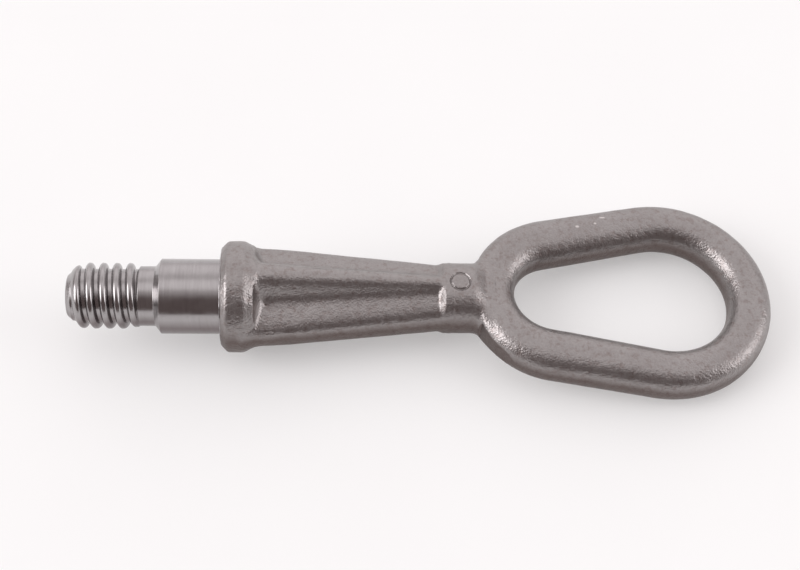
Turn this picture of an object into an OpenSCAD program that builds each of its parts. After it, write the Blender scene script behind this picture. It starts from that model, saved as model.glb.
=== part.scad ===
// Screw-in tow eye: one drop forging with a rolled thread and a turned shoulder.
// It is built along its own axis, thread tip at x = 0 and the eye flat in the
// plane z = 0, and is then laid down as it rests on a floor.

/* [Thread] */
// Outer diameter of the rolled thread
thread_d = 18.2; // [17.4:0.1:19]
// Diameter at the bottom of the thread groove
thread_root_d = 14.8; // [14:0.1:16]
// Distance from one thread crest to the next
thread_pitch = 3.65; // [3.2:0.05:4.4]
// Length of the threaded end, tip included
thread_len = 19.6; // [15:0.1:34]
// Width of the rounded thread ridge at its base
ridge_w = 2.7; // [2.2:0.1:3.1]
// Length of the rounded tip that leads the thread in
tip_len = 5.2; // [3:0.1:8]
// Diameter of the flat end of the tip
tip_d = 12; // [8:0.1:13]

/* [Turned shoulder] */
// Diameter of the plain neck behind the thread
neck_d = 16.5; // [15.8:0.1:17]
// Length of the plain neck
neck_len = 4.1; // [3:0.1:12]
// Diameter of the turned shoulder
shoulder_d = 20.7; // [19.4:0.1:24]
// Length of the turned shoulder, chamfer included
shoulder_len = 18.1; // [8:0.1:30]
// Axial length of the chamfer in front of the shoulder
shoulder_chamfer = 1.7; // [0.5:0.1:3]

/* [Collar] */
// Diameter of the collar that seats against the socket
collar_d = 30.9; // [29:0.1:38]
// Thickness of the collar up to its back chamfer
collar_t = 6.3; // [4:0.1:10]
// Radius of the front edge of the collar
collar_edge_r = 2.2; // [0.4:0.1:2.4]
// Axial length of the back chamfer of the collar
collar_chamfer = 2.5; // [1:0.1:3]
// How far the back chamfer comes in, measured on the radius
collar_chamfer_drop = 1.9; // [0.5:0.1:2.4]

/* [Ribbed shank] */
// Length of the shank from the collar to the boss
shank_len = 52.8; // [35:0.1:90]
// How far the side ribs stay inside the edge of the collar
side_rib_setback = 0.2; // [0.1:0.1:2]
// How far the top and bottom ribs stay inside the edge of the collar
top_rib_setback = 1.7; // [0.1:0.1:2.4]
// Height of the step from the ribs up to the boss
boss_step = 0.6; // [0:0.1:1]
// Thickness of the side ribs at the collar, at their outer edge
side_rib_t_start = 8.4; // [4:0.1:9]
// Thickness of the side ribs at the boss, at their outer edge
side_rib_t_end = 10.4; // [5:0.1:11]
// Thickness of the top and bottom ribs at the collar, at their outer edge
top_rib_t_start = 8.4; // [5:0.1:10]
// Thickness of the top and bottom ribs at the boss, at their outer edge
top_rib_t_end = 3.8; // [3:0.1:7]
// Slope of the walls of the side ribs, in degrees
side_rib_draft = 14; // [5:1:24]
// Slope of the walls of the top and bottom ribs, in degrees
top_rib_draft = 10; // [3:1:20]
// Length over which the four hollows run up to the collar
hollow_front_run = 1.8; // [1.2:0.1:8]
// Length over which the four hollows run up to the boss
hollow_back_run = 2.4; // [1.5:0.1:6]

/* [Boss] */
// Width of the boss between the shank and the eye
boss_w = 19.4; // [18:0.1:24]
// Height of the boss
boss_h = 18.4; // [17:0.1:23]
// Length of the plain boss
boss_len = 7.1; // [5:0.1:20]
// Radius of the hollow corner where the boss spreads into the eye
spread_r = 3; // [2:0.1:7]

/* [Eye] */
// Length of the hole in the eye
hole_len = 60.8; // [50:0.1:90]
// Radius of the narrow end of the hole, next to the boss
hole_root_r = 11.2; // [8:0.1:14]
// Radius of the wide end of the hole
hole_end_r = 17.9; // [15:0.1:22]
// Width of the bar at the boss, seen from above
bar_root_w = 12.8; // [9:0.1:16]
// Width of the bar at the far end, seen from above
bar_end_w = 12; // [9:0.1:16]
// Outer radius of the eye at the boss
eye_root_r = 25.5; // [22:0.1:29]
// Outer radius of the eye at its far end
eye_end_r = 30.8; // [28:0.1:36]
// Height of the bar of the eye
bar_h = 12.8; // [9:0.1:16]

/* [Stamp] */
// Diameter of the blank round stamp on top of the boss
stamp_d = 6; // [4:0.1:8]
// Width of the ring that the stamp leaves
stamp_ring_w = 0.7; // [0.4:0.1:1.2]
// Depth of the stamp
stamp_depth = 0.5; // [0.3:0.05:0.6]

/* [Hidden] */

// Smoothness: round steps of each kind of surface
turn_fn = 96;
stamp_fn = 48;
thread_steps = 24;
ridge_points = 9;
loft_points = 48;
bar_points = 28;
hollow_rows = 6;
spread_rows = 4;
root_arc_steps = 9;
end_arc_steps = 16;

// Roundness of the drawn sections: 2 is an ellipse, more is squarer
bar_power = 2.32;
boss_power = 2.25;
ridge_power = 2.1;
side_rib_power = 8;
top_rib_power = 5;
rib_root_power = 6;
foot_power = 24;

// Radii of the turned end
thread_r = thread_d / 2;
root_r = thread_root_d / 2;
neck_r = neck_d / 2;
shoulder_r = shoulder_d / 2;
collar_r = collar_d / 2;
tip_r = tip_d / 2;
collar_back_r = collar_r - collar_chamfer_drop;

// Places along the axis, each from the one before it
neck_x = thread_len;
shoulder_x = neck_x + neck_len;
seat_x = shoulder_x + shoulder_len;
collar_edge_x = seat_x + collar_t;
collar_back_x = collar_edge_x + collar_chamfer;
boss_x = collar_back_x + shank_len;
spread_x = boss_x + boss_len;
eye_root_x = spread_outer_x();
hole_root_x = eye_root_x + bar_root_w;
hole_end_x = hole_root_x + hole_len;
eye_end_x = hole_end_x + bar_end_w;

// Centres of the arcs of the eye on the axis
hole_root_cx = hole_root_x + hole_root_r;
hole_end_cx = hole_end_x - hole_end_r;
eye_root_cx = eye_root_x + eye_root_r;
eye_end_cx = eye_end_x - eye_end_r;

// The hollow corner of the spread touches the side of the boss where the
// spread begins, and the outer arc of the eye from outside. This gives the
// place of that outer arc.
function spread_outer_x() =
    let(reach = spread_r + eye_root_r, rise = boss_w / 2 + spread_r)
    spread_x + sqrt(reach * reach - rise * rise) - eye_root_r;
spread_end_x = spread_x
    + (eye_root_cx - spread_x) * spread_r / (spread_r + eye_root_r);
// How far along the boss the stamp sits
stamp_share = 0.55;
// Behind the stamp the boss starts to flatten into the bar
stamp_x = boss_x + stamp_share * boss_len;
flatten_x = stamp_x + stamp_d / 2;
// The spread ends inside the middle of the bar
spread_stop_x = eye_root_x + bar_root_w / 2;
// It dives this far under the skin of the bar
dive = 0.12;

// How the piece rests: on the back edge of the collar and the end of the bar
bar_end_cx = eye_end_x - bar_end_w / 2;
function bar_support(a, b, c) =
    let(q = bar_power / (bar_power - 1))
    pow(pow(b * abs(sin(a)), q) + pow(c * cos(a), q), 1 / q);
function rest_step(a) =
    asin((collar_r * cos(a) - bar_support(a, bar_end_w / 2, bar_h / 2))
        / (bar_end_cx - collar_edge_x));
rest_angle = rest_step(rest_step(rest_step(rest_step(0))));
rest_lift = collar_edge_x * sin(rest_angle) + collar_r * cos(rest_angle);
// Reach of the laid piece in x, used to centre it on the origin
rest_x_min = -tip_r * sin(rest_angle);
rest_x_max = bar_end_cx * cos(rest_angle)
    + bar_support(90 - rest_angle, bar_end_w / 2, bar_h / 2);
rest_x_mid = (rest_x_min + rest_x_max) / 2;

// One coordinate of a rounded section, from a sine or a cosine
function rounded(s, power) = sign(s) * pow(abs(s), 2 / power);

// Smooth step from 0 to 1
function ease(t) = let(u = min(max(t, 0), 1)) u * u * (3 - 2 * u);

// Value between a and b
function mix(a, b, t) = a + (b - a) * t;

// Triangles of a skin of closed rings, rings rows of n points
function skin_faces(rings, n) = [
    for (i = [0 : rings - 2], j = [0 : n - 1])
        let(k = (j + 1) % n, a = i * n + j, b = i * n + k,
            c = a + n, d = b + n)
        each [[a, d, c], [a, b, d]]
];

// Fans that close the first and the last ring around two centre points
function cap_faces(rings, n) = [
    for (j = [0 : n - 1])
        let(k = (j + 1) % n, last = (rings - 1) * n)
        each [[rings * n, k, j], [rings * n + 1, last + j, last + k]]
];

// Solid skinned over a list of rings with the same number of points each
module skinned(rows, first_centre, last_centre) {
    n = len(rows[0]);
    m = len(rows);
    points = [
        for (row = rows) each row,
        first_centre,
        last_centre
    ];
    polyhedron(points, concat(skin_faces(m, n), cap_faces(m, n)), convexity = 6);
}

// Stud, shoulder and collar, turned about the axis in one profile
module turned_end() {
    rotate([90, 0, 90])
        rotate_extrude($fn = turn_fn)
            difference() {
                polygon([
                    [0, 0],
                    [tip_r, 0],
                    [root_r, mix(0, tip_len, lead_share)],
                    [root_r, neck_x - runout],
                    [neck_r, neck_x],
                    [neck_r, shoulder_x],
                    [shoulder_r, shoulder_x + shoulder_chamfer],
                    [shoulder_r, seat_x],
                    [collar_r, seat_x],
                    [collar_r, collar_edge_x],
                    [collar_back_r, collar_back_x],
                    [0, collar_back_x]
                ]);
                // Rounded front edge of the collar
                translate([collar_r - collar_edge_r, seat_x])
                    difference() {
                        translate([0, -collar_edge_r])
                            square([2 * collar_edge_r, 2 * collar_edge_r]);
                        translate([0, collar_edge_r])
                            circle(r = collar_edge_r);
                        translate([-collar_edge_r, collar_edge_r])
                            square([2 * collar_edge_r, 2 * collar_edge_r]);
                    }
            }
}

// Axial length over which the thread fades into the neck
runout = 0.6;
// Share of the tip on which the core reaches its full radius
lead_share = 1 - sqrt(1 - (root_r - tip_r) / (thread_r - tip_r));
// The ridge starts this far under the core
ridge_sink = 0.5;
// The first turn starts just behind the flat end of the tip
ridge_start_x = 1.9;
// It fades over this share of a pitch in front of the neck and ends inside it
fade_share = 0.7;
ridge_end_x = neck_x + (1 - fade_share) * thread_pitch;
// It ends this far under the skin of the neck
ridge_bury = 0.4;
ridge_turns = (ridge_end_x - ridge_start_x) / thread_pitch;

// Radius of the rounded tip that cuts the ridge off at x
function tip_limit(x) =
    let(lead = min(max(x / tip_len, 0), 1))
    mix(tip_r, thread_r, 1 - (1 - lead) * (1 - lead));

// Crest radius of the full ridge at x, fading into the neck
function crest_r(x) =
    mix(thread_r, neck_r - ridge_bury, ease((x - neck_x) / thread_pitch + fade_share));

// One point of the ridge: s goes from 0 to 180 degrees over its section and
// turn counts the turns from the tip
function ridge_point(s, turn) =
    let(a = 360 * turn,
        centre_x = ridge_start_x + thread_pitch * turn,
        x = centre_x - ridge_w / 2 * rounded(cos(s), ridge_power),
        base = min(root_r, tip_limit(x)) - ridge_sink,
        crest = min(crest_r(centre_x), tip_limit(x)),
        r = mix(base, crest, rounded(sin(s), ridge_power)))
    [x, r * cos(a), r * sin(a)];

// Centre of the section of the ridge, just above its base
function ridge_centre(turn) =
    let(a = 360 * turn,
        x = ridge_start_x + thread_pitch * turn,
        r = min(root_r, tip_limit(x)) - ridge_sink / 2)
    [x, r * cos(a), r * sin(a)];

// Rolled thread: one rounded ridge along a right-hand helix
module thread_ridge() {
    steps = ceil(ridge_turns * thread_steps);
    rows = [
        for (i = [0 : steps])
            [for (j = [0 : ridge_points - 1]) ridge_point(180 * j / (ridge_points - 1), ridge_turns * i / steps)]
    ];
    skinned(rows, ridge_centre(0), ridge_centre(ridge_turns));
}

// Radius of one pair of ribs in the direction a, measured from the pair. The
// walls spread by draft degrees towards the axis, and power sets how sharp
// the edges of the ribs are.
function rib_r(a, reach, half_t, draft, power) =
    let(wall = (half_t + tan(draft) * reach) / (abs(sin(a)) + tan(draft) * abs(cos(a))))
    pow(pow(reach, -power) + pow(wall, -power), -1 / power);

// Radius of the cross-shaped section: side ribs along y, the others along z
function cross_r(a, t) =
    let(side_reach = mix(collar_r - side_rib_setback, boss_w / 2 - boss_step, t),
        top_reach = mix(collar_r - top_rib_setback, boss_h / 2 - boss_step, t),
        side_t = mix(side_rib_t_start, side_rib_t_end, t),
        top_t = mix(top_rib_t_start, top_rib_t_end, t),
        side = rib_r(a, side_reach, side_t / 2, side_rib_draft, side_rib_power),
        top = rib_r(a - 90, top_reach, top_t / 2, top_rib_draft, top_rib_power))
    blend(side, top, rib_root_power);

// The larger of two radii, with a soft corner where they meet
function blend(r1, r2, power) = pow(pow(r1, power) + pow(r2, power), 1 / power);

// Radius of a rounded section with half width w and half height h
function oval_r(a, w, h, power) =
    pow(pow(abs(cos(a)) / w, power) + pow(abs(sin(a)) / h, power), -1 / power);

// Radius of the shank and the boss at x in the direction a
function shank_r(a, x) =
    let(t = (x - collar_edge_x) / (boss_x - collar_edge_x),
        cross = cross_r(a, min(max(t, 0), 1)),
        front = min(max((x - collar_back_x) / hollow_front_run, 0), 1),
        back = ease((x - boss_x + hollow_back_run) / hollow_back_run),
        disc = mix(collar_back_r - dive, min(cross, collar_back_r), sqrt(1 - (1 - front) * (1 - front))),
        full = oval_r(a, boss_w / 2, boss_h / 2, boss_power))
    mix(blend(cross, disc, foot_power), full, back);

// Half width and half height of the spread at x
function spread_w(x) =
    x < spread_x ? boss_w / 2
    : x < spread_end_x ? boss_w / 2 + spread_r - sqrt(pow(spread_r, 2) - pow(x - spread_x, 2))
    : sqrt(pow(eye_root_r, 2) - pow(eye_root_cx - x, 2));
function spread_h(x) =
    mix(boss_h, bar_h, ease((x - flatten_x) / (spread_stop_x - flatten_x))) / 2;

// Row of points around the axis at x, with a radius for each direction
function shank_row(x) = [
    for (j = [0 : loft_points - 1])
        let(a = -360 * j / loft_points, r = shank_r(a, x))
        [x, r * cos(a), r * sin(a)]
];
function spread_row(x) =
    let(u = ease((x - spread_x) / (spread_stop_x - spread_x)),
        w = spread_w(x) - dive * u, h = spread_h(x) - dive * u)
    [
        for (j = [0 : loft_points - 1])
            let(a = -360 * j / loft_points, p = mix(boss_power, bar_power, u))
            [x, w * rounded(cos(a), p), h * rounded(sin(a), p)]
    ];

// Ribbed shank and boss in one skin, then the spread that joins the eye
module shank_and_boss() {
    front = [for (i = [0 : hollow_rows]) collar_back_x + pow(i / hollow_rows, 2) * hollow_front_run];
    back = [for (i = [hollow_rows : -1 : 0]) boss_x - i / hollow_rows * hollow_back_run];
    stop = boss_x + boss_len / 2;
    rows = [for (x = concat([collar_edge_x], front, back, [stop])) shank_row(x)];
    skinned(rows, [collar_edge_x, 0, 0], [stop, 0, 0]);
}

module spread() {
    places = concat(
        [for (i = [1 : spread_rows - 1]) boss_x + boss_len * i / spread_rows],
        [for (i = [0 : spread_rows]) mix(spread_x, spread_end_x, i / spread_rows)],
        [for (i = [1 : spread_rows]) mix(spread_end_x, spread_stop_x, i / spread_rows)]
    );
    rows = [for (x = places) spread_row(x)];
    skinned(rows, [places[0], 0, 0], [spread_stop_x, 0, 0]);
}

// Half outline of the eye or of its hole: two arcs on the axis and the
// straight side that touches both, from the boss round to the far end
function arc(cx, r, from, to, steps) =
    [for (i = [0 : steps]) let(a = mix(from, to, i / steps)) [cx + r * cos(a), r * sin(a)]];
function half_outline(x1, r1, x2, r2) =
    let(touch = 90 + asin((r2 - r1) / (x2 - x1)))
    concat(arc(x1, r1, 180, touch, root_arc_steps), arc(x2, r2, touch, 0, end_arc_steps));
function full_outline(x1, r1, x2, r2) =
    let(half = half_outline(x1, r1, x2, r2), n = len(half))
    concat(half, [for (i = [n - 2 : -1 : 1]) [half[i][0], -half[i][1]]]);

// Bar of the eye, swept round between the outline of the hole and the outline
// of the eye
module eye_ring() {
    outer = full_outline(eye_root_cx, eye_root_r, eye_end_cx, eye_end_r);
    inner = full_outline(hole_root_cx, hole_root_r, hole_end_cx, hole_end_r);
    m = len(outer);
    n = bar_points;
    points = [
        for (i = [0 : m - 1], j = [0 : n - 1])
            let(a = 360 * j / n,
                mid = (outer[i] + inner[i]) / 2,
                half = (outer[i] - inner[i]) / 2 * rounded(cos(a), bar_power))
            [mid[0] + half[0], mid[1] + half[1], bar_h / 2 * rounded(sin(a), bar_power)]
    ];
    faces = [
        for (i = [0 : m - 1], j = [0 : n - 1])
            let(k = (j + 1) % n, i2 = (i + 1) % m,
                a = i * n + j, b = i * n + k, c = i2 * n + j, d = i2 * n + k)
            each [[a, c, d], [a, d, b]]
    ];
    polyhedron(points, faces, convexity = 8);
}

// Blank round stamp, a shallow ring pressed into the top of the boss
module stamp_mark() {
    translate([stamp_x, 0, boss_h / 2 - stamp_depth])
        difference() {
            cylinder(d = stamp_d, h = 2 * stamp_depth, $fn = stamp_fn);
            translate([0, 0, -stamp_depth])
                cylinder(d = stamp_d - 2 * stamp_ring_w, h = 4 * stamp_depth, $fn = stamp_fn);
        }
}

// The whole forging along its own axis
module forging() {
    difference() {
        union() {
            turned_end();
            thread_ridge();
            shank_and_boss();
            spread();
            eye_ring();
        }
        stamp_mark();
    }
}

// Laid down at rest, centred on the origin and standing on z = 0
module tow_eye() {
    color([0.53, 0.51, 0.5])
        translate([-rest_x_mid, 0, rest_lift])
            rotate([0, rest_angle, 0])
                forging();
}

tow_eye();
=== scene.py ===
"""Looks of the screw-in tow eye: one steel forging with a rolled thread, lying on a pale floor.

All sizes are in millimetres along the eye's own axis (thread tip at x = 0, eye flat in z = 0),
the same as in part.scad. place() turns them into the row frame, in metres.
"""

import math

import bpy
import bmesh
import numpy as np
from mathutils import Matrix


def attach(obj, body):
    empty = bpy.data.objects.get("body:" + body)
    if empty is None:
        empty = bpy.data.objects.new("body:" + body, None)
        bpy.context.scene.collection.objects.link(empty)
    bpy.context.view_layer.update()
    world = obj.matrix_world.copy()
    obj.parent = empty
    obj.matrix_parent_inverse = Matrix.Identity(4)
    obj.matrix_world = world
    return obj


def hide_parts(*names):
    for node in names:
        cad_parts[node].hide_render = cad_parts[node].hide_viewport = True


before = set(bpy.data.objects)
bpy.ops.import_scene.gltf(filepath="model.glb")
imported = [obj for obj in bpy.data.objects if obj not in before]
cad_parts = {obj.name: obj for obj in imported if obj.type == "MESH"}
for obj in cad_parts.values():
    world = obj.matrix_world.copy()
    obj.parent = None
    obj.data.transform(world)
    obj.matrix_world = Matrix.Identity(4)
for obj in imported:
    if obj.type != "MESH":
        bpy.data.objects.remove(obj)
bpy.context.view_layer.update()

# Sizes of the forging, as in the part's source
THREAD_R, ROOT_R, PITCH, RIDGE_W, RIDGE_X = 9.1, 7.4, 3.65, 2.7, 1.9
TIP_LEN, TIP_R = 5.2, 6.0
NECK_X, NECK_R = 19.6, 8.25
SHOULDER_X, SHOULDER_R, SHOULDER_CHAMFER = 23.7, 10.35, 1.7
SEAT_X, COLLAR_R, FRONT_EDGE = 41.8, 15.42, 1.75
EDGE_X, BACK_X, BACK_R = 48.1, 50.6, 13.55
BOSS_X, BOSS_W, BOSS_H = 103.4, 9.7, 9.2
FRONT_RUN, BACK_RUN = 3.8, 2.4
SPREAD_X, SPREAD_R = 110.5, 3.0
EYE_X, EYE_ROOT_R, EYE_END_X, EYE_END_R = 110.514, 25.5, 196.114, 30.8
HOLE_X, HOLE_ROOT_R, HOLE_END_X, HOLE_END_R = 123.314, 11.2, 184.114, 17.9
BAR_H = 6.4
SPREAD_STOP = (EYE_X + HOLE_X) / 2
STAMP_X, STAMP_R, STAMP_DEPTH = 107.305, 2.65, 0.4
REST_ANGLE, REST_MID, REST_LIFT = math.radians(3.63604), 97.6843, 18.4693

# Roundness of the sections: higher powers are squarer
BAR_POWER, BOSS_POWER, RIDGE_POWER = 2.32, 2.25, 2.1
SIDE_RIB, TOP_RIB, RIB_ROOT, RIB_FOOT = 8.0, 5.0, 6.0, 24.0

# Ribs of the shank: half thickness at the collar and at the boss, draft of the walls in degrees
SIDE_HALF_T, SIDE_DRAFT = (4.2, 5.2), 14
TOP_HALF_T, TOP_DRAFT = (4.2, 1.9), 10

# Blends between the forms of the forging
COLLAR_BLEND, SPREAD_BLEND, BAR_BLEND = 2.4, 0.3, 1.2

# Trimming flat round the root of the eye: length, depth, where it starts and runs out
TRIM_LEN, TRIM_DEPTH, TRIM_START, TRIM_END = 17, 0.42, 3, 9
TRIM_CORNER_LEN, NO_TRIM = 2.75, -1.5

# Stamp groove, uneven skin and how far the skin stays inside the full form
GROOVE_W = 0.3
UNEVEN = ((0.05, 7.0), (0.03, 2.6), (0.015, 1.1))
SKIN_INSET = 0.08

# Closing seam along the crest of the rolled thread
SEAM_DEPTH, SEAM_W, SEAM_OFFSET = 0.08, 0.17, 0.1

# Turned end: segments round the axis, depth and pitch of the tool rings
TURN_SEGMENTS = 176
RING_DEPTH, RING_PITCH = 0.009, 0.52

rng = np.random.default_rng(11)


def place(p):
    """Own frame in mm to row frame in m, for an array of points."""
    c, s = math.cos(REST_ANGLE), math.sin(REST_ANGLE)
    x = p[:, 0] * c + p[:, 2] * s - REST_MID
    z = -p[:, 0] * s + p[:, 2] * c + REST_LIFT
    return np.stack([x, p[:, 1], z], 1) / 1000.0


def ease(t):
    u = np.clip(t, 0, 1)
    return u * u * (3 - 2 * u)


def mix(a, b, t):
    return a + (b - a) * t


def smin(a, b, k):
    """The smaller of two distances, rounded over k where they meet."""
    h = np.clip(0.5 + 0.5 * (b - a) / k, 0, 1)
    return mix(b, a, h) - k * h * (1 - h)


def smax(a, b, k):
    return -smin(-a, -b, k)


# Smooth noise on a lattice, for the uneven forged skin
LATTICE = rng.random((24, 24, 24)).astype(np.float32) * 2 - 1


def noise(x, y, z, size):
    q = np.stack([x, y, z], -1) / size
    i = np.floor(q).astype(int)
    f = q - i
    f = f * f * (3 - 2 * f)
    out = 0
    for dx in (0, 1):
        for dy in (0, 1):
            for dz in (0, 1):
                w = ((f[..., 0] if dx else 1 - f[..., 0])
                     * (f[..., 1] if dy else 1 - f[..., 1])
                     * (f[..., 2] if dz else 1 - f[..., 2]))
                out = out + w * LATTICE[(i[..., 0] + dx) % 24, (i[..., 1] + dy) % 24, (i[..., 2] + dz) % 24]
    return out


# Distance functions of the forging

def blend(r1, r2, power):
    """The larger of two radii, with a soft corner where they meet."""
    top = np.maximum(r1, r2)
    return top * ((r1 / top) ** power + (r2 / top) ** power) ** (1 / power)


def rib_r(c, s, reach, half_t, draft, power):
    """Radius of a pair of ribs along c, with walls that spread towards the axis."""
    t = math.tan(math.radians(draft))
    wall = (half_t + t * reach) / (np.abs(s) + t * np.abs(c) + 1e-9)
    return (reach ** -power + wall ** -power) ** (-1 / power)


def shank_r(c, s, x):
    """Radius of the ribbed shank, from the back of the collar to the boss."""
    t = np.clip((x - EDGE_X) / (BOSS_X - EDGE_X), 0, 1)
    side = rib_r(c, s, mix(COLLAR_R - 0.2, BOSS_W - 0.6, t), mix(*SIDE_HALF_T, t), SIDE_DRAFT, SIDE_RIB)
    top = rib_r(s, c, mix(COLLAR_R - 1.7, BOSS_H - 0.6, t), mix(*TOP_HALF_T, t), TOP_DRAFT, TOP_RIB)
    cross = blend(side, top, RIB_ROOT)
    front = np.clip((x - BACK_X) / FRONT_RUN, 0, 1)
    disc = mix(BACK_R - 0.12, np.minimum(cross, BACK_R), 1 - (1 - front) ** 2)
    full = (np.abs(c / BOSS_W) ** BOSS_POWER + np.abs(s / BOSS_H) ** BOSS_POWER + 1e-9) ** (-1 / BOSS_POWER)
    return mix(blend(cross, disc, RIB_FOOT), full, ease((x - BOSS_X + BACK_RUN) / BACK_RUN))


def rounded_box(u, w, v, h, power):
    """Distance to a rounded section with half sizes w and h, measured from its middle."""
    f = ((np.abs(u) / w) ** power + (np.abs(v) / h) ** power) ** (1 / power) + 1e-6
    r = np.sqrt(u * u + v * v) + 1e-6
    return r * (1 - 1 / f)


def capsule(x, y, x1, r1, x2, r2):
    """Distance in the plane to two circles on the axis joined by their tangents."""
    px, py = np.abs(y), x - x1
    h = x2 - x1
    b = (r1 - r2) / h
    a = math.sqrt(1 - b * b)
    k = -b * px + a * py
    low = np.sqrt(px * px + py * py) - r1
    high = np.sqrt(px * px + (py - h) ** 2) - r2
    side = a * px + b * py - r1
    return np.where(k < 0, low, np.where(k > a * h, high, side))


def collar(x, rho):
    """Collar with the dull front edge behind the turned seat and the chamfer at its back."""
    n = math.hypot(COLLAR_R - BACK_R, BACK_X - EDGE_X)
    chamfer = ((x - EDGE_X) * (COLLAR_R - BACK_R) + (rho - COLLAR_R) * (BACK_X - EDGE_X)) / n
    slope = (SEAT_X - x + rho - COLLAR_R + FRONT_EDGE) * math.sqrt(0.5)
    front = smax(smax(SEAT_X - x, rho - COLLAR_R, 0.3), slope, 0.5)
    return np.maximum(smax(front, chamfer, 0.6), x - BACK_X)


def spread(x, y, z):
    """Boss and the corners where it spreads into the eye."""
    root_cx = EYE_X + EYE_ROOT_R
    corner_end = SPREAD_X + (root_cx - SPREAD_X) * SPREAD_R / (SPREAD_R + EYE_ROOT_R)
    corner = BOSS_W + SPREAD_R - np.sqrt(np.maximum(SPREAD_R ** 2 - np.clip(x - SPREAD_X, 0, None) ** 2, 0))
    arc = np.sqrt(np.maximum(EYE_ROOT_R ** 2 - (root_cx - x) ** 2, 1))
    w = np.where(x < corner_end, corner, arc)
    flat = ease((x - STAMP_X - 3) / (SPREAD_STOP - STAMP_X - 3))
    u = ease((x - SPREAD_X) / (SPREAD_STOP - SPREAD_X))
    d = rounded_box(y, w - 0.12 * u, z, mix(BOSS_H, BAR_H, flat) - 0.12 * u, mix(BOSS_POWER, BAR_POWER, u))
    return np.maximum(np.maximum(d, BOSS_X + 1 - x), x - SPREAD_STOP)


def forging(x, y, z):
    """Signed distance to the skin of the whole forging, negative inside."""
    rho = np.sqrt(y * y + z * z) + 1e-6
    shank = (rho - shank_r(y / rho, z / rho, x)) * 0.92
    shank = np.maximum(np.maximum(shank, EDGE_X - x), x - BOSS_X - 2)
    body = smin(collar(x, rho), shank, COLLAR_BLEND)
    body = smin(body, spread(x, y, z), SPREAD_BLEND)
    # Bar of the eye between the hole and the outline
    inside = capsule(x, y, HOLE_X + HOLE_ROOT_R, HOLE_ROOT_R, HOLE_END_X - HOLE_END_R, HOLE_END_R)
    outside = capsule(x, y, EYE_X + EYE_ROOT_R, EYE_ROOT_R, EYE_END_X - EYE_END_R, EYE_END_R)
    half, mid = (inside - outside) / 2, (inside + outside) / 2
    bar = rounded_box(mid, half, z, BAR_H, BAR_POWER)
    body = smin(body, bar, BAR_BLEND)
    # Flat left by the trimming of the flash round the root of the eye
    corner = SPREAD_R - np.hypot(x - SPREAD_X, np.abs(y) - BOSS_W - SPREAD_R)
    trim = ease((x - SPREAD_X) / TRIM_START) * ease((SPREAD_X + TRIM_LEN - x) / TRIM_END)
    edge = np.where(x < SPREAD_X + TRIM_CORNER_LEN, corner, outside)
    body = smax(body, edge + mix(NO_TRIM, TRIM_DEPTH, trim), 0.1)
    # Blank round stamp on top of the boss
    ring = np.sqrt((x - STAMP_X) ** 2 + y * y)
    body = body + STAMP_DEPTH * np.exp(-((ring - STAMP_R) / GROOVE_W) ** 2) * (z > 0)
    # Uneven skin left by the dies and the scale, always inside the full form
    (broad, broad_size), (middle, middle_size), (fine, fine_size) = UNEVEN
    uneven = broad * noise(x, y, z, broad_size)
    uneven = uneven + middle * noise(x + 40, y, z, middle_size)
    uneven = uneven + fine * noise(x, y + 31, z, fine_size)
    return body + uneven + SKIN_INSET


def gradient(p, e=0.05):
    """Direction in which the distance grows, by central differences."""
    g = np.empty_like(p)
    for k in range(3):
        a, b = p.copy(), p.copy()
        a[:, k] += e
        b[:, k] -= e
        g[:, k] = (forging(*a.T) - forging(*b.T)) / (2 * e)
    return g


def settle(p, steps=4):
    """Moves points onto the skin of the forging."""
    for _ in range(steps):
        g = gradient(p)
        d = forging(*p.T) / np.maximum((g * g).sum(1), 0.2)
        p = p - np.clip(d, -0.3, 0.3)[:, None] * g
    return p


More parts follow.
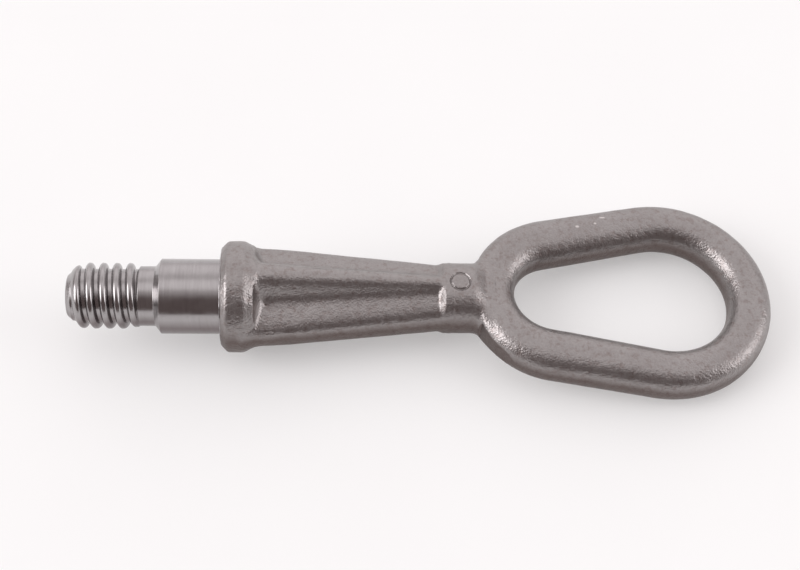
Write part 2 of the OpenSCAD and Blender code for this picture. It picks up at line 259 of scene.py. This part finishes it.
def surface_net(cell):
    """Quads over the skin of the forging, one point for each grid cell that it passes through."""
    lo = np.array([SEAT_X - 1.5, -32.0, -16.5])
    hi = np.array([EYE_END_X + 1.5, 32.0, 16.5])
    n = np.ceil((hi - lo) / cell).astype(int) + 1
    axes = [lo[k] + cell * np.arange(n[k]) for k in range(3)]
    v = np.empty(n, np.float32)
    yy, zz = np.meshgrid(axes[1], axes[2], indexing="ij")
    for i, x in enumerate(axes[0]):
        v[i] = forging(np.full_like(yy, x), yy, zz)
    neg = v < 0
    corners = [(a, b, c) for a in (0, 1) for b in (0, 1) for c in (0, 1)]
    part = [neg[a:n[0] - 1 + a, b:n[1] - 1 + b, c:n[2] - 1 + c] for a, b, c in corners]
    count = sum(q.astype(np.int8) for q in part)
    cells = np.argwhere((count > 0) & (count < 8))
    index = -np.ones(n - 1, int)
    index[tuple(cells.T)] = np.arange(len(cells))
    total, hits = np.zeros((len(cells), 3)), np.zeros(len(cells))
    for a in corners:
        for k in range(3):
            if a[k]:
                continue
            b = list(a)
            b[k] = 1
            va = v[tuple((cells + a).T)]
            vb = v[tuple((cells + b).T)]
            cut = (va < 0) != (vb < 0)
            t = np.where(cut, va / np.where(cut, va - vb, 1), 0)
            pos = np.array(a, float)[None] + 0 * cells
            pos[:, k] += t
            total[cut] += pos[cut]
            hits[cut] += 1
    points = lo + cell * (cells + total / hits[:, None])
    quads = []
    for k in range(3):
        u, w = (k + 1) % 3, (k + 2) % 3
        a = [slice(None)] * 3
        b = [slice(None)] * 3
        a[k], b[k] = slice(0, -1), slice(1, None)
        cross = neg[tuple(a)] != neg[tuple(b)]
        at = np.argwhere(cross)
        at = at[(at[:, u] > 0) & (at[:, w] > 0) & (at[:, u] < n[u] - 1) & (at[:, w] < n[w] - 1)]
        du, dw = np.zeros(3, int), np.zeros(3, int)
        du[u], dw[w] = 1, 1
        q = np.stack([index[tuple((at - du - dw).T)], index[tuple((at - dw).T)],
                      index[tuple(at.T)], index[tuple((at - du).T)]], 1)
        flip = ~neg[tuple(at.T)]
        q[flip] = q[flip][:, ::-1]
        quads.append(q)
    return points, np.concatenate(quads)


def refine(points, quads, wanted, cuts):
    """Splits the quads whose middle is wanted, then moves all points onto the skin again."""
    bm = bmesh.new()
    verts = [bm.verts.new(p) for p in points.tolist()]
    faces = [bm.faces.new([verts[i] for i in q]) for q in quads.tolist()]
    keep = wanted(points[quads].mean(1))
    edges = {e for f, k in zip(faces, keep) if k for e in f.edges}
    bmesh.ops.subdivide_edges(bm, edges=list(edges), cuts=cuts, use_grid_fill=True)
    bm.verts.index_update()
    new_points = np.array([v.co[:] for v in bm.verts])
    new_faces = [[v.index for v in f.verts] for f in bm.faces]
    bm.free()
    return settle(new_points), new_faces


def fine_detail(p):
    """Where the skin carries detail below the cell size: the stamp, the flash at the root of the eye."""
    x, y, z = p.T
    stamp = (np.hypot(x - STAMP_X, y) < STAMP_R + 1.1) & (z > 0)
    outside = capsule(x, y, EYE_X + EYE_ROOT_R, EYE_ROOT_R, EYE_END_X - EYE_END_R, EYE_END_R)
    along = (x > SPREAD_X - 1) & (x < SPREAD_X + TRIM_LEN + 1)
    flash = (z > 0.6) & (z < 3.4) & along & (outside > -1.4)
    return stamp | flash


def make_mesh(name, points, faces, material, normals=None):
    """Smooth mesh object of the scene, from points in the eye's own frame."""
    mesh = bpy.data.meshes.new(name)
    mesh.from_pydata(place(points).tolist(), [], [tuple(map(int, f)) for f in faces])
    mesh.update()
    mesh.polygons.foreach_set("use_smooth", [True] * len(mesh.polygons))
    obj = bpy.data.objects.new(name, mesh)
    bpy.context.scene.collection.objects.link(obj)
    mesh.materials.append(material)
    if normals is not None:
        c, s = math.cos(REST_ANGLE), math.sin(REST_ANGLE)
        x, y, z = normals.T
        m = np.stack([x * c + z * s, y, -x * s + z * c], 1)
        mesh.normals_split_custom_set_from_vertices((m / np.linalg.norm(m, axis=1)[:, None]).tolist())
    return obj


# Turned and rolled end: a height field over the axis and the angle

def core_r(x):
    """Radius under the thread and of the turned neck and shoulder."""
    return np.interp(x, [0, 0.35, 2.75, NECK_X - 0.6, NECK_X, SHOULDER_X, SHOULDER_X + 0.15,
                         SHOULDER_X + SHOULDER_CHAMFER, SEAT_X],
                     [TIP_R - 0.35, TIP_R, ROOT_R, ROOT_R, NECK_R, NECK_R, NECK_R + 0.1, SHOULDER_R, SHOULDER_R])


def thread_r(x, a):
    """Radius of the rolled ridge at x in the direction a, with the closing seam along its crest."""
    phase = (x - RIDGE_X) / PITCH - a / (2 * math.pi)
    turn = np.round(phase)
    d = (phase - turn) * PITCH
    xc = x - d
    lead = np.clip(x / TIP_LEN, 0, 1)
    limit = mix(TIP_R, THREAD_R, 1 - (1 - lead) ** 2)
    crest = np.minimum(mix(THREAD_R, NECK_R - 0.4, ease((xc - NECK_X) / PITCH + 0.7)), limit)
    base = np.minimum(ROOT_R, limit) - 0.5
    u = np.clip(1 - (np.abs(d) / (RIDGE_W / 2)) ** RIDGE_POWER, 0, 1)
    r = base + (crest - base) * u ** (1 / RIDGE_POWER)
    seam = SEAM_DEPTH * np.exp(-((d - SEAM_OFFSET) / SEAM_W) ** 2) * ease((x - 3) / 2)
    started = ease((xc - 1.2) / 0.8)
    return mix(base, r - seam, started)


def turned_end():
    """Thread, neck, shoulder and the machined land round it, closed at both ends."""
    seg = TURN_SEGMENTS
    a = np.arange(seg) * 2 * math.pi / seg
    xs = np.concatenate([
        [0.0, 0.12, 0.35],
        np.arange(0.45, NECK_X + 1.2, 0.1),
        np.arange(NECK_X + 1.25, SHOULDER_X, 0.25),
        np.arange(SHOULDER_X, SHOULDER_X + SHOULDER_CHAMFER, 0.15),
        np.arange(SHOULDER_X + SHOULDER_CHAMFER, SEAT_X - 0.06, 0.125),
        [SEAT_X - 0.05],
    ])
    rows = []
    for x in xs:
        xx = np.full(seg, x)
        r = core_r(xx)
        if x < NECK_X + 2.5:
            r = smax(r, thread_r(xx, a), 0.3)
        # Tool rings of the turned faces
        if x > SHOULDER_X + 0.3:
            fine = RING_DEPTH * math.sin(2 * math.pi * x / RING_PITCH) + 0.003 * math.sin(2 * math.pi * x / 1.9)
            r = np.minimum(r - 0.012 + fine, SHOULDER_R)
        elif x > NECK_X + 0.6:
            r = r - 0.008 + 0.004 * math.sin(2 * math.pi * x / 0.4)
        rows.append(np.stack([xx, r * np.cos(a), r * np.sin(a)], 1))
    # Machined land round the shoulder, its outer edge left sharp against the forged collar
    for x, r in ((SEAT_X - 0.03, SHOULDER_R + 0.25), (SEAT_X - 0.04, 12.0), (SEAT_X - 0.05, 13.35),
                 (SEAT_X + 0.02, 13.55), (SEAT_X + 0.3, 13.6), (SEAT_X + 0.3, 11.0)):
        ragged = 0.12 * np.sin(3 * a + 1) + 0.08 * np.sin(11 * a) + 0.06 * np.sin(29 * a + 2)
        rim = r + (ragged if r > 13.3 else 0)
        rows.append(np.stack([np.full(seg, x), rim * np.cos(a), rim * np.sin(a)], 1))
    n = len(rows)
    points = np.concatenate(rows + [np.array([[0.0, 0, 0], [SEAT_X + 0.3, 0, 0]])])
    faces = []
    for i in range(n - 1):
        for j in range(seg):
            k = (j + 1) % seg
            faces.append((i * seg + j, i * seg + k, (i + 1) * seg + k, (i + 1) * seg + j))
    faces += [(n * seg, (j + 1) % seg, j) for j in range(seg)]
    faces += [(n * seg + 1, (n - 1) * seg + j, (n - 1) * seg + (j + 1) % seg) for j in range(seg)]
    return points, faces


# Materials

class Nodes:
    """Short way to build a node material."""

    def __init__(self, name):
        self.mat = bpy.data.materials.new(name)
        self.mat.use_nodes = True
        self.tree = self.mat.node_tree
        self.shader = self.tree.nodes["Principled BSDF"]
        coords = self.add("ShaderNodeTexCoord")
        scale = self.add("ShaderNodeVectorMath", operation="MULTIPLY")
        scale.inputs[1].default_value = (1000, 1000, 1000)
        self.link(coords.outputs["Object"], scale.inputs[0])
        self.mm = scale.outputs[0]

    def add(self, kind, **props):
        """New node with its properties set."""
        node = self.tree.nodes.new(kind)
        for k, v in props.items():
            setattr(node, k, v)
        return node

    def link(self, a, b):
        self.tree.links.new(a, b)

    def noise(self, size, detail=3.0, rough=0.6, stretch=None):
        """Noise with features of a size in mm."""
        src = self.mm
        if stretch:
            m = self.add("ShaderNodeVectorMath", operation="MULTIPLY")
            m.inputs[1].default_value = stretch
            self.link(src, m.inputs[0])
            src = m.outputs[0]
        n = self.add("ShaderNodeTexNoise")
        n.inputs["Scale"].default_value = 1.0 / size
        n.inputs["Detail"].default_value = detail
        n.inputs["Roughness"].default_value = rough
        self.link(src, n.inputs["Vector"])
        return n.outputs["Fac"]

    def ramp(self, fac, *stops):
        """Colour or value between stops of position and colour."""
        r = self.add("ShaderNodeValToRGB")
        e = r.color_ramp.elements
        while len(e) < len(stops):
            e.new(0.5)
        for el, (pos, col) in zip(e, stops):
            el.position = pos
            el.color = (*col, 1) if isinstance(col, tuple) else (col, col, col, 1)
        self.link(fac, r.inputs[0])
        return r.outputs[0]

    def math(self, op, a, b=None, c=None):
        m = self.add("ShaderNodeMath", operation=op)
        for i, v in enumerate((a, b, c)):
            if v is None:
                continue
            if isinstance(v, (int, float)):
                m.inputs[i].default_value = v
            else:
                self.link(v, m.inputs[i])
        return m.outputs[0]

    def mix(self, fac, a, b, blend="MIX"):
        m = self.add("ShaderNodeMix", data_type="RGBA", blend_type=blend)
        for i, v in ((0, fac), (6, a), (7, b)):
            if isinstance(v, (int, float)):
                m.inputs[i].default_value = v
            elif isinstance(v, tuple):
                m.inputs[i].default_value = (*v, 1)
            else:
                self.link(v, m.inputs[i])
        return m.outputs[2]

    def lower(self, low, value, high):
        """Colour factor of painted shade: darker on the faces that look down or sideways, fading out as they
        turn upwards.
        """
        facing = self.add("ShaderNodeSeparateXYZ")
        self.link(self.add("ShaderNodeNewGeometry").outputs["Normal"], facing.inputs[0])
        upward = self.math("MULTIPLY_ADD", facing.outputs["Z"], 0.5, 0.5)
        return self.ramp(upward, (low, value), (high, (1.0, 1.0, 1.0)))

    def spot(self, at, size):
        """Soft ellipsoid round a point of the eye's own frame, 1 inside and 0 outside."""
        c = place(np.array([at], float))[0] * 1000
        offset = self.add("ShaderNodeVectorMath", operation="SUBTRACT")
        offset.inputs[1].default_value = tuple(c)
        self.link(self.mm, offset.inputs[0])
        scaled = self.add("ShaderNodeVectorMath", operation="DIVIDE")
        scaled.inputs[1].default_value = size
        self.link(offset.outputs[0], scaled.inputs[0])
        length = self.add("ShaderNodeVectorMath", operation="LENGTH")
        self.link(scaled.outputs[0], length.inputs[0])
        return self.ramp(length.outputs["Value"], (0.55, 1.0), (1.0, 0.0))

    def bump(self, height, strength, distance, normal=None):
        b = self.add("ShaderNodeBump")
        b.inputs["Strength"].default_value = strength
        b.inputs["Distance"].default_value = distance
        self.link(height, b.inputs["Height"])
        if normal is not None:
            self.link(normal, b.inputs["Normal"])
        return b.outputs[0]


# Marks in the eye's own frame, as middle and half sizes: knocks on its far side, a scratch on the top rib
KNOCKS = (
    ((142.3, 20.6, 6.0), (0.7, 0.5, 2.0)),
    ((147.6, 21.8, 6.0), (0.5, 0.35, 2.0)),
    ((149.9, 24.0, 6.0), (1.0, 0.35, 2.0)),
)
SCRATCH = ((68.7, 1.85, 11.4), (3.2, 0.2, 2.0))


def forged_steel():
    """Blasted skin with patches of scale and a fine grain."""
    m = Nodes("forged_steel")
    patches = m.noise(11.0, 4, 0.6)
    scale = m.noise(1.6, 5, 0.65)
    grit = m.noise(0.55, 3, 0.6)
    colour = m.ramp(patches, (0.30, (0.305, 0.284, 0.28)), (0.72, (0.345, 0.325, 0.322)))
    colour = m.mix(m.ramp(scale, (0.34, 0.0), (0.5, 1.0)), (0.256, 0.222, 0.214), colour)
    colour = m.mix(0.12, colour, m.ramp(grit, (0.35, (0.18, 0.16, 0.155)), (0.68, (0.52, 0.5, 0.495))))
    # Painted shade: the faces that look down are darkened, with a warm tint, in the colour
    colour = m.mix(1.0, colour, m.lower(0.53, (0.46, 0.395, 0.375), 0.7), "MULTIPLY")
    for at, size in KNOCKS:
        colour = m.mix(m.math("MULTIPLY", m.spot(at, size), 0.7), colour, (0.75, 0.71, 0.7))
    colour = m.mix(m.math("MULTIPLY", m.spot(*SCRATCH), 0.5), colour, (0.09, 0.08, 0.075))
    m.link(colour, m.shader.inputs["Base Color"])
    m.link(m.ramp(m.noise(2.4, 4, 0.6), (0.3, 0.36), (0.7, 0.43)), m.shader.inputs["Roughness"])
    m.shader.inputs["Metallic"].default_value = 1.0
    n = m.bump(m.noise(1.6, 1, 0.5), 1.0, 0.00013)
    n = m.bump(m.noise(0.45, 0, 0.5), 1.0, 0.00009, n)
    m.link(n, m.shader.inputs["Normal"])
    return m.mat


def turned_steel():
    """Bright turned and rolled skin, with streaks round the axis."""
    m = Nodes("turned_steel")
    smear = m.noise(4.0, 4, 0.6)
    streak = m.noise(0.5, 3, 0.6, stretch=(1.0, 0.05, 0.05))
    colour = m.ramp(smear, (0.3, (0.35, 0.334, 0.337)), (0.7, (0.4, 0.385, 0.388)))
    colour = m.mix(0.2, colour, m.ramp(streak, (0.3, (0.27, 0.25, 0.25)), (0.7, (0.5, 0.485, 0.485))))
    # Painted shade: the faces that look down are darkened in the colour
    colour = m.mix(1.0, colour, m.lower(0.5, (0.55, 0.5, 0.5), 0.66), "MULTIPLY")
    m.link(colour, m.shader.inputs["Base Color"])
    m.link(m.ramp(smear, (0.3, 0.16), (0.7, 0.26)), m.shader.inputs["Roughness"])
    m.shader.inputs["Metallic"].default_value = 1.0
    m.link(m.bump(streak, 0.15, 0.00001), m.shader.inputs["Normal"])
    return m.mat


# The two skins of the one forging

cell, cuts = ((0.5, 3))
points, quads = surface_net(cell)
points, quads = refine(settle(points), quads, fine_detail, cuts)
body = make_mesh("forged_body", points, quads, forged_steel(), gradient(points))
end_points, end_faces = turned_end()
end = make_mesh("turned_end", end_points, end_faces, turned_steel())
for piece in (body, end):
    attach(piece, "root")
    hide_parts("tow_eye")

# Floor

FLOOR_HALF = 4
PAPER_WHITE = 0.35
floor_mesh = bpy.data.meshes.new("floor")
around = ((-1, -1), (1, -1), (1, 1), (-1, 1))
floor_mesh.from_pydata([(FLOOR_HALF * i, FLOOR_HALF * j, 0) for i, j in around], [], [(0, 1, 2, 3)])
floor = bpy.data.objects.new("floor", floor_mesh)
bpy.context.scene.collection.objects.link(floor)
fm = Nodes("floor_paper")
paper = fm.ramp(fm.noise(60, 2, 0.5), (0.3, (0.918, 0.924, 0.922)), (0.7, (0.933, 0.94, 0.938)))
fm.link(paper, fm.shader.inputs["Base Color"])
fm.shader.inputs["Roughness"].default_value = 0.9
# The white of the paper for the camera and for what the metal mirrors; the shadow stays
path = fm.add("ShaderNodeLightPath")
seen = fm.math("ADD", path.outputs["Is Camera Ray"], path.outputs["Is Glossy Ray"])
seen = fm.math("ADD", seen, path.outputs["Is Transmission Ray"])
white = fm.add("ShaderNodeEmission")
white.inputs["Color"].default_value = (0.98, 0.97, 0.972, 1)
white.inputs["Strength"].default_value = 1.0
both = fm.add("ShaderNodeMixShader")
fm.link(fm.math("MULTIPLY", seen, PAPER_WHITE), both.inputs[0])
fm.link(fm.shader.outputs[0], both.inputs[1])
fm.link(white.outputs[0], both.inputs[2])
fm.link(both.outputs[0], fm.mat.node_tree.nodes["Material Output"].inputs["Surface"])
floor_mesh.materials.append(fm.mat)

# Studio light: a dim room, bright behind the object, with a panel on each side of it

world = bpy.data.worlds.new("studio")
bpy.context.scene.world = world
world.use_nodes = True
sky = world.node_tree
ROOM = (0.184, 0.146, 0.142)
TINT = (1.0, 0.985, 0.995)
# Azimuth from the camera's side towards +X, elevation, half widths of the core and of the glow, strength
GLOWS = (
    (180, 58, 36, 76, 0.64),
    (180, 86, 8, 22, 0.4),
    (180, 12, 20, 50, 0.36),
    (-80, 30, 9, 27, 4.3),
    (82, 22, 8, 26, 2.6),
    (-105, 25, 20, 50, 0.2),
    (115, 25, 20, 50, 0.25),
)


def glow_strength(direction, azimuth, elevation, core, edge, strength):
    """Soft round glow of the sky, from the angles between which it falls off."""
    a, e = math.radians(azimuth), math.radians(elevation)
    dot = sky.nodes.new("ShaderNodeVectorMath")
    dot.operation = "DOT_PRODUCT"
    dot.inputs[1].default_value = (math.sin(a) * math.cos(e), -math.cos(a) * math.cos(e), math.sin(e))
    sky.links.new(direction, dot.inputs[0])
    fall = sky.nodes.new("ShaderNodeMapRange")
    fall.interpolation_type = "SMOOTHSTEP"
    fall.inputs["From Min"].default_value = math.cos(math.radians(edge))
    fall.inputs["From Max"].default_value = math.cos(math.radians(core))
    fall.inputs["To Max"].default_value = strength
    sky.links.new(dot.outputs["Value"], fall.inputs["Value"])
    return fall.outputs["Result"]


direction = sky.nodes.new("ShaderNodeTexCoord").outputs["Generated"]
light = None
for glow in GLOWS:
    part = glow_strength(direction, *glow)
    if light is not None:
        both = sky.nodes.new("ShaderNodeMath")
        both.operation = "ADD"
        sky.links.new(light, both.inputs[0])
        sky.links.new(part, both.inputs[1])
        part = both.outputs[0]
    light = part
colour = sky.nodes.new("ShaderNodeVectorMath")
colour.operation = "MULTIPLY_ADD"
sky.links.new(light, colour.inputs[0])
colour.inputs[1].default_value = TINT
colour.inputs[2].default_value = ROOM
sky.links.new(colour.outputs[0], sky.nodes["Background"].inputs["Color"])

# Camera, fitted to the photograph's outlines

CAMERA_LENS = 59.154
CAMERA_AT = (-0.011948, -0.195018, 0.323816)
# Right, up and back of the camera
CAMERA_AXES = (
    (0.99955, -0.029941, -0.001902),
    (0.026237, 0.841585, 0.539487),
    (-0.014552, -0.539294, 0.841991),
)
cam_data = bpy.data.cameras.new("camera")
cam_data.lens = CAMERA_LENS
cam_data.sensor_width = 36
cam_data.clip_start = 0.01
cam_data.clip_end = 20
camera = bpy.data.objects.new("camera", cam_data)
bpy.context.scene.collection.objects.link(camera)
camera.matrix_world = Matrix.Translation(CAMERA_AT) @ Matrix(CAMERA_AXES).transposed().to_4x4()
bpy.context.scene.camera = camera
bpy.context.scene.view_settings.view_transform = "Standard"
